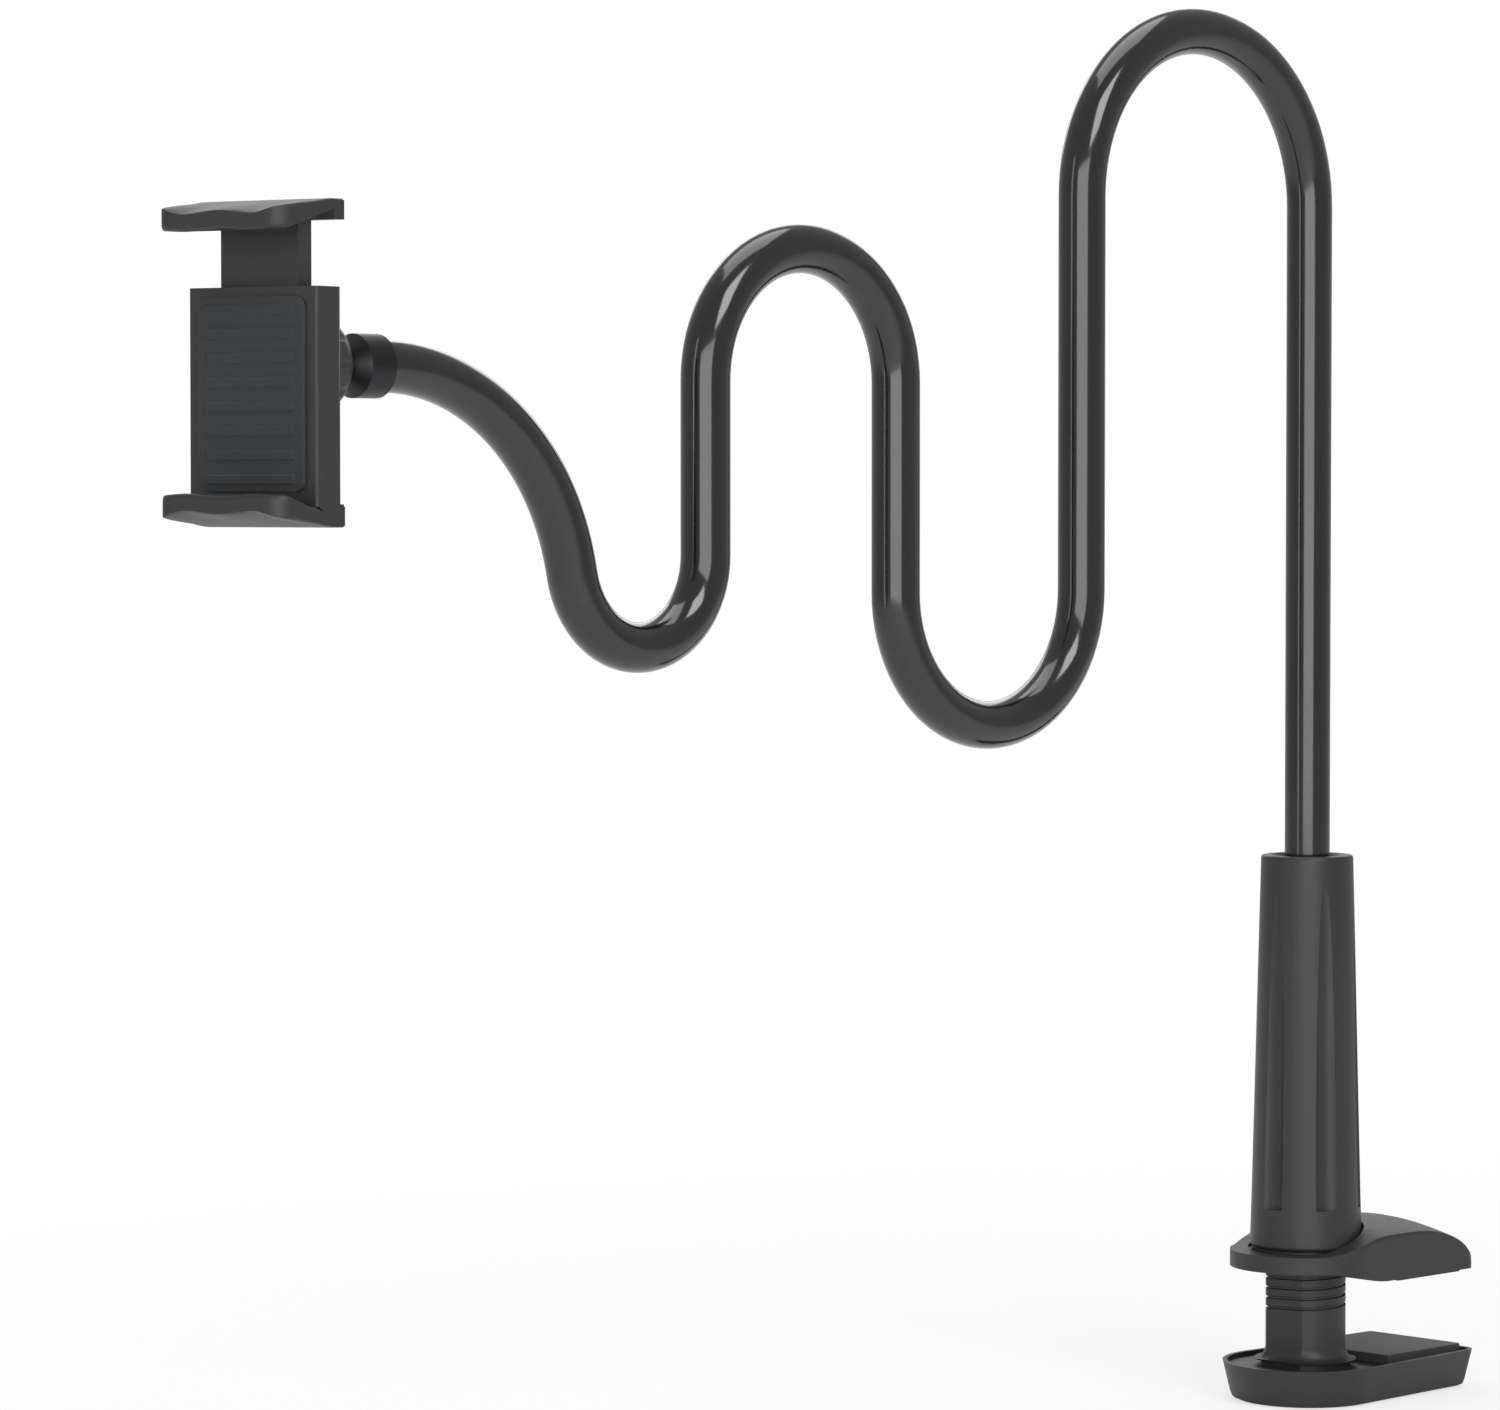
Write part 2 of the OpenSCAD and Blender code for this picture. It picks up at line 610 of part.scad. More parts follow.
// seen from the front a hook has rounded corners, and seen from above as well
module hook() {
    intersection() {
        side_plate(cradle_w) hook_profile();
        front_plate(0, lip_front + 1) translate([0, lip_tip - 5]) rounded(cradle_w, hook_out - lip_tip + 5, 1.2);
        linear_extrude(hook_out + 1) translate([0, -lip_front]) rounded(cradle_w, lip_front, 5.5);
        front_plate(0, lip_front + 1) union() {
            translate([0, lip_tip]) rounded(cradle_w, 12, 2.2);
            translate([-cradle_w / 2, lip_tip + 3]) square([cradle_w, 12]);
        }
    }
}
module hook_pad() {
    front_plate(cover_front + 0.2, lip_back - 5.2) translate([-cradle_w / 2 + 3, hook_in - hook_pad_h])
        square([cradle_w - 6, hook_pad_h]);
}
module screw_places() {
    for (x = [-boss_x, boss_x], z = [boss_low, boss_high]) translate([x, 0, z]) children();
}
module square_from_centre(w, h) { translate([-w / 2, 0]) square([w, h]); }
module cradle_housing() {
    color(plastic) at_cradle() difference() {
        union() {
            // back shell
            intersection() {
                front_plate(housing_back, cover_back) square_from_housing();
                linear_extrude(200, center = true) translate([0, -lip_front])
                    rounded(cradle_w, lip_front - housing_back, cradle_corner);
            }
            // lower hook, part of the same moulding
            mirror([0, 0, 1]) hook();
            // socket collar
            depth_rod(collar_r, -collar_back, housing_back + eps);
        }
        // cavity for the tongue and the springs
        difference() {
            front_plate(cavity_back, cover_back + eps) translate([0, -hook_in])
                square_from_centre(cradle_w - 2 * cradle_wall, housing_top + hook_in - cradle_wall);
            for (x = [-spring_x, spring_x]) translate([x, 0, spring_foot])
                depth_rod(anchor_r, cavity_back - eps, cover_back);
        }
        // way out for the tongue
        front_plate(tongue_back - loose, tongue_back + tongue_h + loose) translate([0, 0])
            square_from_centre(tongue_w + 2 * loose, 60);
        sphere(socket_r);
        // slots that let the collar close on the ball
        for (turn = [0, 90]) rotate([0, turn + 45, 0])
            translate([-0.8, -5, -collar_r - 1]) cube([1.6, collar_back + 6, 2 * collar_r + 2]);
        screw_places() {
            depth_rod(cover_screw_r + 0.1, 0, cover_back);
            depth_rod(cover_screw_head_r + 0.2, 0, housing_back + cover_screw_head_h);
        }
    }
}
module square_from_housing() {
    translate([0, -hook_in - 1]) square_from_centre(cradle_w, housing_top + hook_in + 1);
}
module cradle_cover() {
    color(plastic) at_cradle() difference() {
        union() {
            intersection() {
                front_plate(cover_back, cover_front) translate([0, snug - block_foot])
                    square_from_centre(cradle_w, housing_top + block_foot - snug);
                linear_extrude(200, center = true) translate([0, -cover_front])
                    rounded(cradle_w, 10, 1);
            }
            screw_places() depth_rod(boss_r, cavity_back, cover_back + eps);
        }
        screw_places() depth_rod(cover_screw_r, 0, cover_front - 1);
    }
}
module cover_screws() {
    color(steel) at_cradle() screw_places() difference() {
        union() {
            depth_rod(cover_screw_head_r, housing_back + 0.1, housing_back + cover_screw_head_h);
            depth_rod(cover_screw_r, housing_back + 0.1, cover_front - 1.5);
        }
        translate([-1.3, -housing_back - 0.8, -0.25]) cube([2.6, 1, 0.5]);
        translate([-0.25, -housing_back - 0.8, -1.3]) cube([0.5, 1, 2.6]);
    }
}
module cradle_pad() {
    ribs = 8;
    low = -hook_in + hook_pad_h + 3.5;
    tall = housing_top - 2.5 - low;
    color(rubber) at_cradle() {
        front_plate(cover_front, pad_front - 0.5) translate([0, low]) rounded(cradle_w - 7, tall, 3);
        for (i = [0 : ribs - 1]) front_plate(pad_front - 0.6, pad_front)
            translate([0, low + (i + 0.5) * tall / ribs - 1.1]) square_from_centre(cradle_w - 13, 2.2);
    }
}
module lower_hook_pad() { color(rubber) at_cradle() mirror([0, 0, 1]) hook_pad(); }
module upper_hook_pad() { color(rubber) at_cradle() hook_pad(); }
module sliding_jaw() {
    slot_top = spring_top + 2.4;
    color(plastic) at_cradle() {
        difference() {
            union() {
                hook();
                front_plate(tongue_back, tongue_back + tongue_h) translate([0, tongue_foot])
                    square_from_centre(tongue_w, block_foot + 1 - tongue_foot);
            }
            for (x = [-spring_x, spring_x]) front_plate(0, cover_front)
                translate([x, tongue_foot - 1]) square_from_centre(spring_slot_w, slot_top - tongue_foot + 1);
        }
        for (x = [-spring_x, spring_x]) translate([x, -spring_y, spring_top]) rotate([0, 90, 0])
            cylinder(r = anchor_r, h = spring_slot_w + 0.2, center = true);
    }
}

// tension spring: one wire swept from its lower eye, up the coil and round its upper eye
coil_r = (spring_d - spring_wire) / 2;
eye_r = anchor_r + spring_wire / 2 + 0.05;
coil_low = spring_foot + eye_r + 1.2;
coil_high = spring_top - eye_r - 1.2;
function lower_eye() = [for (a = [-250 : 25 : 50]) [eye_r * sin(a), 0, spring_foot - eye_r * cos(a)]];
function coil() = [for (i = [0 : spring_turns * 12]) let (a = 30 * i)
    [coil_r * cos(a), coil_r * sin(a), coil_low + (coil_high - coil_low) * i / (spring_turns * 12)]];
function upper_eye() = [for (a = [-50 : 25 : 250]) [0, eye_r * sin(a), spring_top - eye_r * cos(a)]];
function unit(v) = v / norm(v);
function flattened(v, along) = unit(v - (v * along) * along);
function tangent(path, i) = unit(path[min(i + 1, len(path) - 1)] - path[max(i - 1, 0)]);
module wire(path, r, sides) {
    last = len(path) - 1;
    sideways = [for (i = 0, s = flattened([0.3, 0.5, 0.8], tangent(path, 0)); i <= last;
        i = i + 1, s = i <= last ? flattened(s, tangent(path, i)) : s) s];
    rings = [for (i = [0 : last]) let (t = tangent(path, i), u = sideways[i], v = cross(t, u))
        [for (k = [0 : sides - 1]) path[i] + r * (cos(360 * k / sides) * u + sin(360 * k / sides) * v)]];
    polyhedron(
        points = [for (ring = rings) each ring],
        faces = concat(
            [[for (k = [0 : sides - 1]) k]],
            [for (i = [0 : last - 1], k = [0 : sides - 1])
                [i * sides + k, (i + 1) * sides + k, (i + 1) * sides + (k + 1) % sides, i * sides + (k + 1) % sides]],
            [[for (k = [sides - 1 : -1 : 0]) last * sides + k]]));
}
module spring(side) {
    color(steel) at_cradle() translate([side * spring_x, -spring_y, 0])
        wire(concat(lower_eye(), coil(), upper_eye()), spring_wire / 2, 6);
}
module left_spring() { spring(-1); }
module right_spring() { spring(1); }

neck_core();
neck_sleeve();
neck_ferrule();
ball_stud();
ball_liner();
lock_nut();
screw_post();
neck_set_screws();
lower_jaw();
lower_pad();
post_screw();
upper_jaw();
upper_pad();
thrust_washer();
snap_ring();
grip();
thread_insert();
cradle_housing();
cradle_cover();
cover_screws();
cradle_pad();
lower_hook_pad();
sliding_jaw();
upper_hook_pad();
left_spring();
right_spring();
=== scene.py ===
"""Bendable desk arm with a screw clamp and a spring-loaded phone cradle, over its CAD frame."""

import json
import math

import bpy
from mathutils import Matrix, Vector


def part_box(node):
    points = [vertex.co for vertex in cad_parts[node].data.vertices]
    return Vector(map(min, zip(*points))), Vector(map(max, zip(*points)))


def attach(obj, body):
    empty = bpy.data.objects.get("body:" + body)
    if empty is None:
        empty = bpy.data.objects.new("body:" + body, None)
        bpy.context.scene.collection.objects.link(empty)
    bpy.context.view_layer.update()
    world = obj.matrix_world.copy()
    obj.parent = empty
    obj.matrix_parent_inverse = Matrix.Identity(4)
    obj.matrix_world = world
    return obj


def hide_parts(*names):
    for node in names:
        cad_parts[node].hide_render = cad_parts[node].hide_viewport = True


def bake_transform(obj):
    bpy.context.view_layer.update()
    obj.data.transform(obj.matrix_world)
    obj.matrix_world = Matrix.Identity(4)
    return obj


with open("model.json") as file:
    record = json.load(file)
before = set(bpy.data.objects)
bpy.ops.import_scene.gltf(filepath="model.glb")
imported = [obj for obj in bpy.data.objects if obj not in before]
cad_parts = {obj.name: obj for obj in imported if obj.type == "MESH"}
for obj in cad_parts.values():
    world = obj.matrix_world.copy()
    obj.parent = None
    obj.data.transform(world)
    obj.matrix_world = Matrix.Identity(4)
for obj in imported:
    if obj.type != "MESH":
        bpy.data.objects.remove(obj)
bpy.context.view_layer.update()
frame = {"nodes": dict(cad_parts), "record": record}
MM = 0.001

# Camera: the photograph's place and lens
CAMERA_AT = Vector((1126.6, -1320.3, 239.0)) * MM
CAMERA_AZIMUTH = math.radians(46.0)
CAMERA_PITCH = math.radians(2.17)
FOCAL_PX = 5769.0
IMAGE_W = 1500
SENSOR_MM = 36.0

camera_data = bpy.data.cameras.new("studio_camera")
camera_data.sensor_width = SENSOR_MM
camera_data.lens = FOCAL_PX / IMAGE_W * SENSOR_MM
camera_data.clip_end = 100
camera = bpy.data.objects.new("studio_camera", camera_data)
bpy.context.scene.collection.objects.link(camera)
camera.location = CAMERA_AT
camera.rotation_euler = (math.pi / 2 - CAMERA_PITCH, 0, CAMERA_AZIMUTH)
bpy.context.scene.camera = camera
bpy.context.scene.view_settings.view_transform = "Standard"


# Sizes that the dressing shares with the solids, in millimetres

# Neck
NECK_R = 6.75
CORE_R = 4.5
MAST_TOP = 322.0
BEND_R = {"first": 50.0, "second": 38.0, "third": 36.5, "fourth": 24.5, "last": 66.0}
DROP_1 = 112.5
RISE_2 = 58.0
DROP_3 = 47.0
FOURTH_TURN = 168.0
SWING_RUN = 2.0
TIP_RUN = 8.0
NECK_SEAT = 76.0
CORE_SEAT = 62.0
FERRULE_COVER = 6.0

# Screw post
POST_R = 12.0
POST_FLAT = 9.8
POST_TOP = 90.0
POST_CHAMFER = 1.0
POST_SPIGOT_R = 9.0
TRAY_FLOOR = -25.0
SPIGOT_FOOT = -28.0
SCREW_HOLE_R = 2.55
SCREW_HOLE_TOP = -7.0
SET_SCREW_Z = 69.0
SET_SCREW_HOLE_R = 2.52
FLARE_FOOT_OUT = 1.4
FLARE_OUT = 3.2
FLARE_FOOT = 2.2
FLARE_H = 3.8
THREAD_PITCH = 3.0
THREAD_DEPTH = 0.55
THREAD_LOW = -7.7
THREAD_HIGH = 64.0
THREAD_START_DEGREES = 200

# Grip
GRIP_FOOT = 10.7
GRIP_TOP = 128.7
GRIP_FOOT_R = 16.75
GRIP_TOP_R = 13.75
GRIP_FOOT_ROUND = 1.4
SPIGOT_R = 14.4
SPIGOT_LOW = 7.6
RING_Z = 8.6
RING_GROOVE_R = 0.75
BORE_R = 12.6
POCKET_R = 13.5
POCKET_LOW = 13.0
POCKET_TOP = 36.5
MOUTH_R = 9.75
MOUTH_H = 6.0
FLUTES = 6
FIRST_FLUTE_DEGREES = -27
FLUTE_R = 5.0
FLUTE_DEPTH = 1.6
FLUTE_FOOT = 12.5
FLUTE_TIP = 7.5

# Cradle, measured from the ball: depth towards the phone, height up the cradle
BALL_REACH = 389.938
BALL_Z = 269.64
CRADLE_TURN = math.radians(14)
HOUSING_BACK = 8.51
COVER_BACK = 18.01
COVER_FRONT = 20.01
LIP_BACK = 32.01
LIP_FRONT = 34.51
BLOCK_FOOT = 35.7
HOOK_IN = 37.1
HOOK_OUT = 40.9
LIP_TIP = 32.4
SLOPE_FROM = 13.0
SLOPE_DROP = 4.1


# Materials

def linear(hex_colour):
    """A colour written as sRGB hex, in the linear values that shaders take."""
    values = [int(hex_colour[i:i + 2], 16) / 255 for i in (1, 3, 5)]
    return (*[v / 12.92 if v <= 0.04045 else ((v + 0.055) / 1.055) ** 2.4 for v in values], 1.0)


def add_node(tree, kind, links=None, **settings):
    """Adds a node, sets its properties and sockets by name and links its inputs."""
    node = tree.nodes.new(kind)
    for name, value in settings.items():
        if hasattr(node, name):
            setattr(node, name, value)
        else:
            node.inputs[name.replace("_", " ")].default_value = value
    for name, source in (links or {}).items():
        tree.links.new(source, node.inputs[name])
    return node


def new_material(name, **shader):
    """A material with its own shader; returns it with its tree, shader and object coordinates."""
    material = bpy.data.materials.new(name)
    material.use_nodes = True
    tree = material.node_tree
    tree.nodes.clear()
    bsdf = add_node(tree, "ShaderNodeBsdfPrincipled", **shader)
    add_node(tree, "ShaderNodeOutputMaterial", {"Surface": bsdf.outputs["BSDF"]})
    place = add_node(tree, "ShaderNodeTexCoord")
    return material, tree, bsdf, place.outputs["Object"]


def per_mm(size):
    """The Scale of a texture whose features are about that many millimetres across."""
    return 1 / (size * MM)


def tint(tree, bsdf, pattern, dark, pale):
    """Lets a pattern mix the shader's colour from two."""
    tone = add_node(tree, "ShaderNodeMix", {"Factor": pattern}, data_type="RGBA",
                    A=linear(dark), B=linear(pale))
    tree.links.new(tone.outputs["Result"], bsdf.inputs["Base Color"])


def roughen(tree, bsdf, pattern, low, high, strength, depth_mm):
    """Lets a pattern vary the roughness from low to high and stand out as a faint relief."""
    rough = add_node(tree, "ShaderNodeMapRange", {"Value": pattern}, To_Min=low, To_Max=high)
    tree.links.new(rough.outputs["Result"], bsdf.inputs["Roughness"])
    bump = add_node(tree, "ShaderNodeBump", {"Height": pattern}, Strength=strength,
                    Distance=depth_mm * MM)
    tree.links.new(bump.outputs["Normal"], bsdf.inputs["Normal"])


CLOUD_MM = 28.0
GRAIN_SPREAD = 0.06
LINE_SPREAD = 0.07
LINE_STRETCH = (1, 1, 12)


def grained_plastic(name, dark, pale, grain_mm, roughness, depth_mm):
    """Moulded plastic with spark-eroded grain: broad highlights that break up into specks."""
    material, tree, bsdf, place = new_material(name, IOR=1.49)
    grain = add_node(tree, "ShaderNodeTexNoise", {"Vector": place}, Scale=per_mm(grain_mm),
                     Detail=4.0, Roughness=0.6)
    cloud = add_node(tree, "ShaderNodeTexNoise", {"Vector": place}, Scale=per_mm(CLOUD_MM),
                     Detail=3.0)
    tint(tree, bsdf, cloud.outputs["Fac"], dark, pale)
    roughen(tree, bsdf, grain.outputs["Fac"], roughness - GRAIN_SPREAD, roughness + GRAIN_SPREAD,
            0.5, depth_mm)
    return material


def gloss_tube(name, dark, pale, smear_mm):
    """Polished PVC sleeve: a clear deep black with sharp reflections and faint draw marks."""
    material, tree, bsdf, place = new_material(name, IOR=1.54, Coat_Weight=0.4,
                                               Coat_Roughness=0.04)
    smear = add_node(tree, "ShaderNodeTexNoise", {"Vector": place}, Scale=per_mm(smear_mm),
                     Detail=3.0)
    tint(tree, bsdf, smear.outputs["Fac"], dark, pale)
    roughen(tree, bsdf, smear.outputs["Fac"], 0.10, 0.18, 0.15, 0.1)
    return material


def rubber_finish(name, dark, pale, dust_mm):
    """Moulded silicone rubber: dull, a little blue, with a dusty speckle."""
    material, tree, bsdf, place = new_material(name, IOR=1.42, Sheen_Weight=0.15,
                                               Sheen_Roughness=0.5)
    dust = add_node(tree, "ShaderNodeTexNoise", {"Vector": place}, Scale=per_mm(dust_mm),
                    Detail=6.0)
    tint(tree, bsdf, dust.outputs["Fac"], dark, pale)
    roughen(tree, bsdf, dust.outputs["Fac"], 0.62, 0.8, 0.3, 0.05)
    return material


def worked_metal(name, colour, roughness, line_mm):
    """Drawn or turned metal: fine lines along the work that spread the highlight one way."""
    material, tree, bsdf, place = new_material(name, Metallic=1.0, Base_Color=linear(colour))
    stretched = add_node(tree, "ShaderNodeMapping", {"Vector": place}, Scale=LINE_STRETCH)
    lines = add_node(tree, "ShaderNodeTexNoise", {"Vector": stretched.outputs["Vector"]},
                     Scale=per_mm(line_mm), Detail=4.0)
    roughen(tree, bsdf, lines.outputs["Fac"], roughness - LINE_SPREAD, roughness + LINE_SPREAD,
            0.2, 0.05)
    return material


FINISH = {
    # ABS with spark-eroded grain: charcoal, soft highlights
    "moulding": grained_plastic("abs_fine_grain", "#242425", "#2a2a2b", 0.5, 0.46, 0.10),
    # The grip is the same ABS with a finer mould face, so it shines a little more
    "grip": grained_plastic("abs_grip_satin", "#232324", "#29292a", 0.35, 0.40, 0.05),
    # PVC sleeve over the bendable rod: polished black
    "sleeve": gloss_tube("pvc_sleeve_gloss", "#0c0c0d", "#141415", 14.0),
    # Silicone rubber pads: dull blue-grey black
    "rubber": rubber_finish("silicone_pad", "#242628", "#2d3033", 1.2),
    # Drawn aluminium rod inside the neck
    "aluminium": worked_metal("drawn_aluminium", "#c9cbcd", 0.35, 1.6),
    # Bright zinc-plated steel: screws, springs, ball
    "steel": worked_metal("zinc_plated_steel", "#c4c5c6", 0.28, 1.2),
    # Black-oxide steel: the neck's end piece and the set screws
    "dark_steel": worked_metal("black_oxide_steel", "#3a3a3c", 0.38, 1.2),
    # Machined brass of the threaded insert
    "brass": worked_metal("turned_brass", "#c9a45c", 0.3, 1.2),
    # Natural nylon washer and liner
    "nylon": grained_plastic("nylon_natural", "#cfcbc0", "#d9d6cc", 0.6, 0.5, 0.05),
}
SLOT_OF = {part["node"]: part["material_slot"] for part in frame["record"]["subparts"]}
BODY_OF = {node: body for body, nodes in frame["record"]["behaviour"]["bodies"].items()
           for node in nodes}


def paint(piece, material):
    piece.data.materials.clear()
    piece.data.materials.append(material)


for node_name, node_object in frame["nodes"].items():
    paint(node_object, FINISH[SLOT_OF[node_name]])


# Modelling helpers

MERGE_MM = 0.0005
FLAT_DEGREES = 0.2
BEVEL_SEGMENTS = 3


def deselect():
    bpy.ops.object.select_all(action="DESELECT")


def make_active(piece):
    deselect()
    piece.select_set(True)
    bpy.context.view_layer.objects.active = piece


def start_edit(piece):
    """Opens a piece in edit mode with all of it selected."""
    make_active(piece)
    bpy.ops.object.mode_set(mode="EDIT")
    bpy.ops.mesh.select_all(action="SELECT")


def end_edit():
    bpy.ops.object.mode_set(mode="OBJECT")


def apply_modifier(piece, kind, **settings):
    """Adds a modifier with its settings and applies it."""
    make_active(piece)
    modifier = piece.modifiers.new("work", kind)
    for key, value in settings.items():
        setattr(modifier, key, value)
    bpy.ops.object.modifier_apply(modifier=modifier.name)


def settle(piece):
    """Puts the piece's place into its mesh, so that its object sits at the origin."""
    make_active(piece)
    bpy.ops.object.transform_apply(location=True, rotation=True, scale=True)


def smooth(piece, angle=35):
    make_active(piece)
    bpy.ops.object.shade_smooth_by_angle(angle=math.radians(angle))


def even_normals(piece, angle=35):
    """Smooth shading that keeps flat faces flat and hard edges hard."""
    smooth(piece, angle)
    apply_modifier(piece, "WEIGHTED_NORMAL", keep_sharp=True, weight=80)


def dress(piece, node, blended=None):
    """Gives a piece its finish and lets it stand for the node; it rides on its node's body unless
    blended, when its place is only put into its mesh.
    """
    paint(piece, FINISH[SLOT_OF[node]])
    if blended:
        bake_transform(piece)
    else:
        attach(piece, BODY_OF[node])
    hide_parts(node)


def copy_of(node, name):
    """A merged copy of a node's mesh, as its own piece."""
    mesh = frame["nodes"][node].data.copy()
    mesh.materials.clear()
    piece = bpy.data.objects.new(name, mesh)
    bpy.context.scene.collection.objects.link(piece)
    start_edit(piece)
    bpy.ops.mesh.remove_doubles(threshold=0.002 * MM)
    end_edit()
    return piece


def join_flats(piece):
    """Joins the triangles of each flat face into one face."""
    start_edit(piece)
    bpy.ops.mesh.dissolve_limited(angle_limit=math.radians(FLAT_DEGREES))
    end_edit()


def soften_edges(piece, radius_mm, angle):
    """Rounds the edges that turn by more than an angle."""
    apply_modifier(piece, "BEVEL", width=radius_mm * MM, segments=BEVEL_SEGMENTS,
                   limit_method="ANGLE", angle_limit=math.radians(angle),
                   use_clamp_overlap=True, harden_normals=False)


def softened(node, name, radius_mm):
    """A node's shape with its hard edges rounded as a mould leaves them."""
    piece = copy_of(node, name)
    join_flats(piece)
    soften_edges(piece, radius_mm, 32)
    start_edit(piece)
    bpy.ops.mesh.dissolve_degenerate(threshold=0.002 * MM)
    end_edit()
    even_normals(piece)
    dress(piece, node)


def drawn_face(name, points):
    """A flat face through the given points, left in edit mode with all of it selected."""
    deselect()
    bpy.ops.mesh.primitive_circle_add(vertices=len(points), radius=1, fill_type="NGON")
    piece = bpy.context.object
    piece.name = name
    for vertex, point in zip(piece.data.vertices, points):
        vertex.co = Vector(point) * MM
    bpy.ops.object.mode_set(mode="EDIT")
    bpy.ops.mesh.select_all(action="SELECT")
    return piece


def closed_up():
    """Merges what meets, turns the faces outwards and leaves edit mode."""
    bpy.ops.mesh.select_all(action="SELECT")
    bpy.ops.mesh.remove_doubles(threshold=MERGE_MM * MM)
    bpy.ops.mesh.delete_loose()
    bpy.ops.mesh.select_all(action="SELECT")
    bpy.ops.mesh.normals_make_consistent(inside=False)
    end_edit()


def turned(name, profile, steps):
    """A solid turned about Z from a closed loop of (radius, height) points."""
    piece = drawn_face(name, [(radius, 0, height) for radius, height in profile])
    bpy.ops.mesh.delete(type="ONLY_FACE")
    bpy.ops.mesh.select_all(action="SELECT")
    bpy.ops.mesh.spin(steps=steps, angle=2 * math.pi, dupli=False, center=(0, 0, 0),
                      axis=(0, 0, 1))
    closed_up()
    return piece


def prism(name, points, along):
    """A solid extruded from a flat loop of points."""
    piece = drawn_face(name, points)
    bpy.ops.mesh.extrude_region_move(TRANSFORM_OT_translate={"value": Vector(along) * MM})
    closed_up()
    return piece


def box_solid(name, low, high):
    """A block between two corners."""
    points = [(low[0], low[1], low[2]), (high[0], low[1], low[2]), (high[0], high[1], low[2]),
              (low[0], high[1], low[2])]
    return prism(name, points, (0, 0, high[2] - low[2]))


def cut(piece, tool, operation="DIFFERENCE"):
    """Cuts, keeps or adds another solid, which is used up."""
    apply_modifier(piece, "BOOLEAN", operation=operation, object=tool, solver="MANIFOLD")
    bpy.data.objects.remove(tool)


def arc(degrees):
    """The cosine and sine of an angle, for rounded profiles."""
    return math.cos(math.radians(degrees)), math.sin(math.radians(degrees))


# Neck: a ring extruded along the straights and spun round the bends

SLEEVE_SIDES = 48
CORE_SIDES = 24
CORE_PLAY = 0.05
MAST_STEPS = 8
BEND_STEPS = {"first": 48, "second": 40, "third": 40, "fourth": 36, "last": 30}


def extrude_run(length, steps, heading):
    for _ in range(steps):
        bpy.ops.mesh.extrude_region_move(
            TRANSFORM_OT_translate={"value": Vector(heading) * (length / steps) * MM})


def spin_bend(bend, centre_reach, centre_z, degrees):
    """Spins the ring about an axis along X; minus turns over the top, from +Z towards -Y."""
    bpy.ops.mesh.spin(steps=BEND_STEPS[bend], angle=math.radians(degrees), dupli=False,
                      center=(0, -centre_reach * MM, centre_z * MM), axis=(1, 0, 0))


def neck_tube(name, radius, foot, sides):
    """A closed round rod along the neck's course; returns it and how far its tip reaches."""
    z_1 = MAST_TOP
    z_2 = z_1 - DROP_1
    z_3 = z_2 + RISE_2
    z_4 = z_3 - DROP_3
    reach_2 = 2 * BEND_R["first"]
    reach_3 = reach_2 + 2 * BEND_R["second"]
    reach_4 = reach_3 + 2 * BEND_R["third"]
    lean = math.radians(180 - FOURTH_TURN)
    centre_4 = Vector((reach_4 + BEND_R["fourth"], z_4))
    out = Vector((math.cos(lean), -math.sin(lean)))
    along = Vector((math.sin(lean), math.cos(lean)))
    centre_5 = centre_4 + out * (BEND_R["fourth"] + BEND_R["last"]) + along * SWING_RUN
    deselect()
    bpy.ops.mesh.primitive_circle_add(vertices=sides, radius=radius * MM, fill_type="NGON",
                                      location=(0, 0, foot * MM))
    piece = bpy.context.object
    piece.name = name
    settle(piece)
    start_edit(piece)
    extrude_run(z_1 - foot, MAST_STEPS, (0, 0, 1))
    spin_bend("first", BEND_R["first"], z_1, -180)
    extrude_run(DROP_1, 4, (0, 0, -1))
    spin_bend("second", reach_2 + BEND_R["second"], z_2, 180)
    extrude_run(RISE_2, 3, (0, 0, 1))
    spin_bend("third", reach_3 + BEND_R["third"], z_3, -180)
    extrude_run(DROP_3, 3, (0, 0, -1))
    spin_bend("fourth", centre_4.x, centre_4.y, FOURTH_TURN)
    extrude_run(SWING_RUN, 1, (0, -along.x, along.y))
    spin_bend("last", centre_5.x, centre_5.y, 90 - FOURTH_TURN)
    extrude_run(TIP_RUN, 2, (0, -1, 0))
    closed_up()
    return piece, centre_5.x + TIP_RUN


sleeve, tip_reach = neck_tube("neck_sleeve_tube", NECK_R, NECK_SEAT, SLEEVE_SIDES)
smooth(sleeve)
swing_span = ("post", "neck_end", (0, -NECK_R * MM, 0),
              (0, -(tip_reach - FERRULE_COVER) * MM, 0))
dress(sleeve, "neck_sleeve", blended=swing_span)
core, _ = neck_tube("neck_core_rod", CORE_R - CORE_PLAY, CORE_SEAT, CORE_SIDES)
smooth(core)
dress(core, "neck_core", blended=swing_span)


# Screw post: turned, milled to its two flats, with the thread's groove following the flats

SEAT_PLAY = 0.02
POST_STEPS = 144
THREAD_STEPS = 96
FLARE_RIM = 0.6
GROOVE_FLOOR_HALF = 0.22
GROOVE_MOUTH_HALF = 0.5
GROOVE_REACH = 2.0


def flare_line(half):
    """From the foot up: a narrow foot, the flare's thin rim and its hollow sweep into the bar."""
    rim = TRAY_FLOOR + FLARE_FOOT
    sweep = [(half + FLARE_OUT * (1 - arc(a)[0]), rim + FLARE_H * (1 - arc(a)[1]))
             for a in range(90, -1, -10)]
    return [(half + FLARE_FOOT_OUT, TRAY_FLOOR), (half + FLARE_FOOT_OUT, rim - FLARE_RIM),
            (half + FLARE_OUT - 0.2, rim - 0.4), *sweep]


